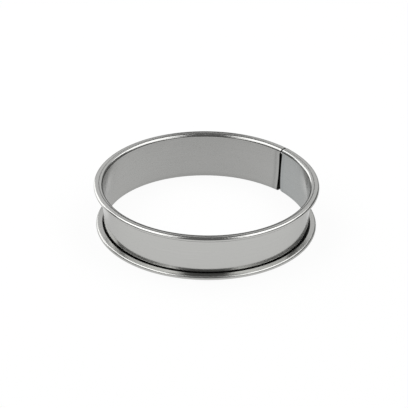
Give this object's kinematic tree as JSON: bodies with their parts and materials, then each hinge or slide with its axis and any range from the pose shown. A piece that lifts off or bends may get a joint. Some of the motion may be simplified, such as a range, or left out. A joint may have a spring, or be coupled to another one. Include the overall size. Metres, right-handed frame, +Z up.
{
  "type": "tart ring",
  "caption": "Round open tart ring of bright stainless strip with both edges rolled outwards into hollow rims and a backed butt seam, for shaping pastry on a baking sheet.",
  "frame": {"origin": "on the ring's axis, level with the flat of the lower rolled rim that the ring stands on", "axes": "+Z up along the ring's axis, +X to the right and +Y to the back as the ring is pictured, with the seam at the back right"},
  "size_m": [0.087, 0.087, 0.0187],
  "materials": {
    "strip_steel": "bright",
    "plate_steel": "satin",
    "weld_steel": "matt"
  },
  "bodies": {
    "root": {"wall_band": "strip_steel", "upper_rolled_rim": "strip_steel", "lower_rolled_rim": "strip_steel", "seam_plate": "plate_steel", "spot_weld_upper_left": "weld_steel", "spot_weld_upper_right": "weld_steel", "spot_weld_lower_left": "weld_steel", "spot_weld_lower_right": "weld_steel"}
  },
  "joints": []
}
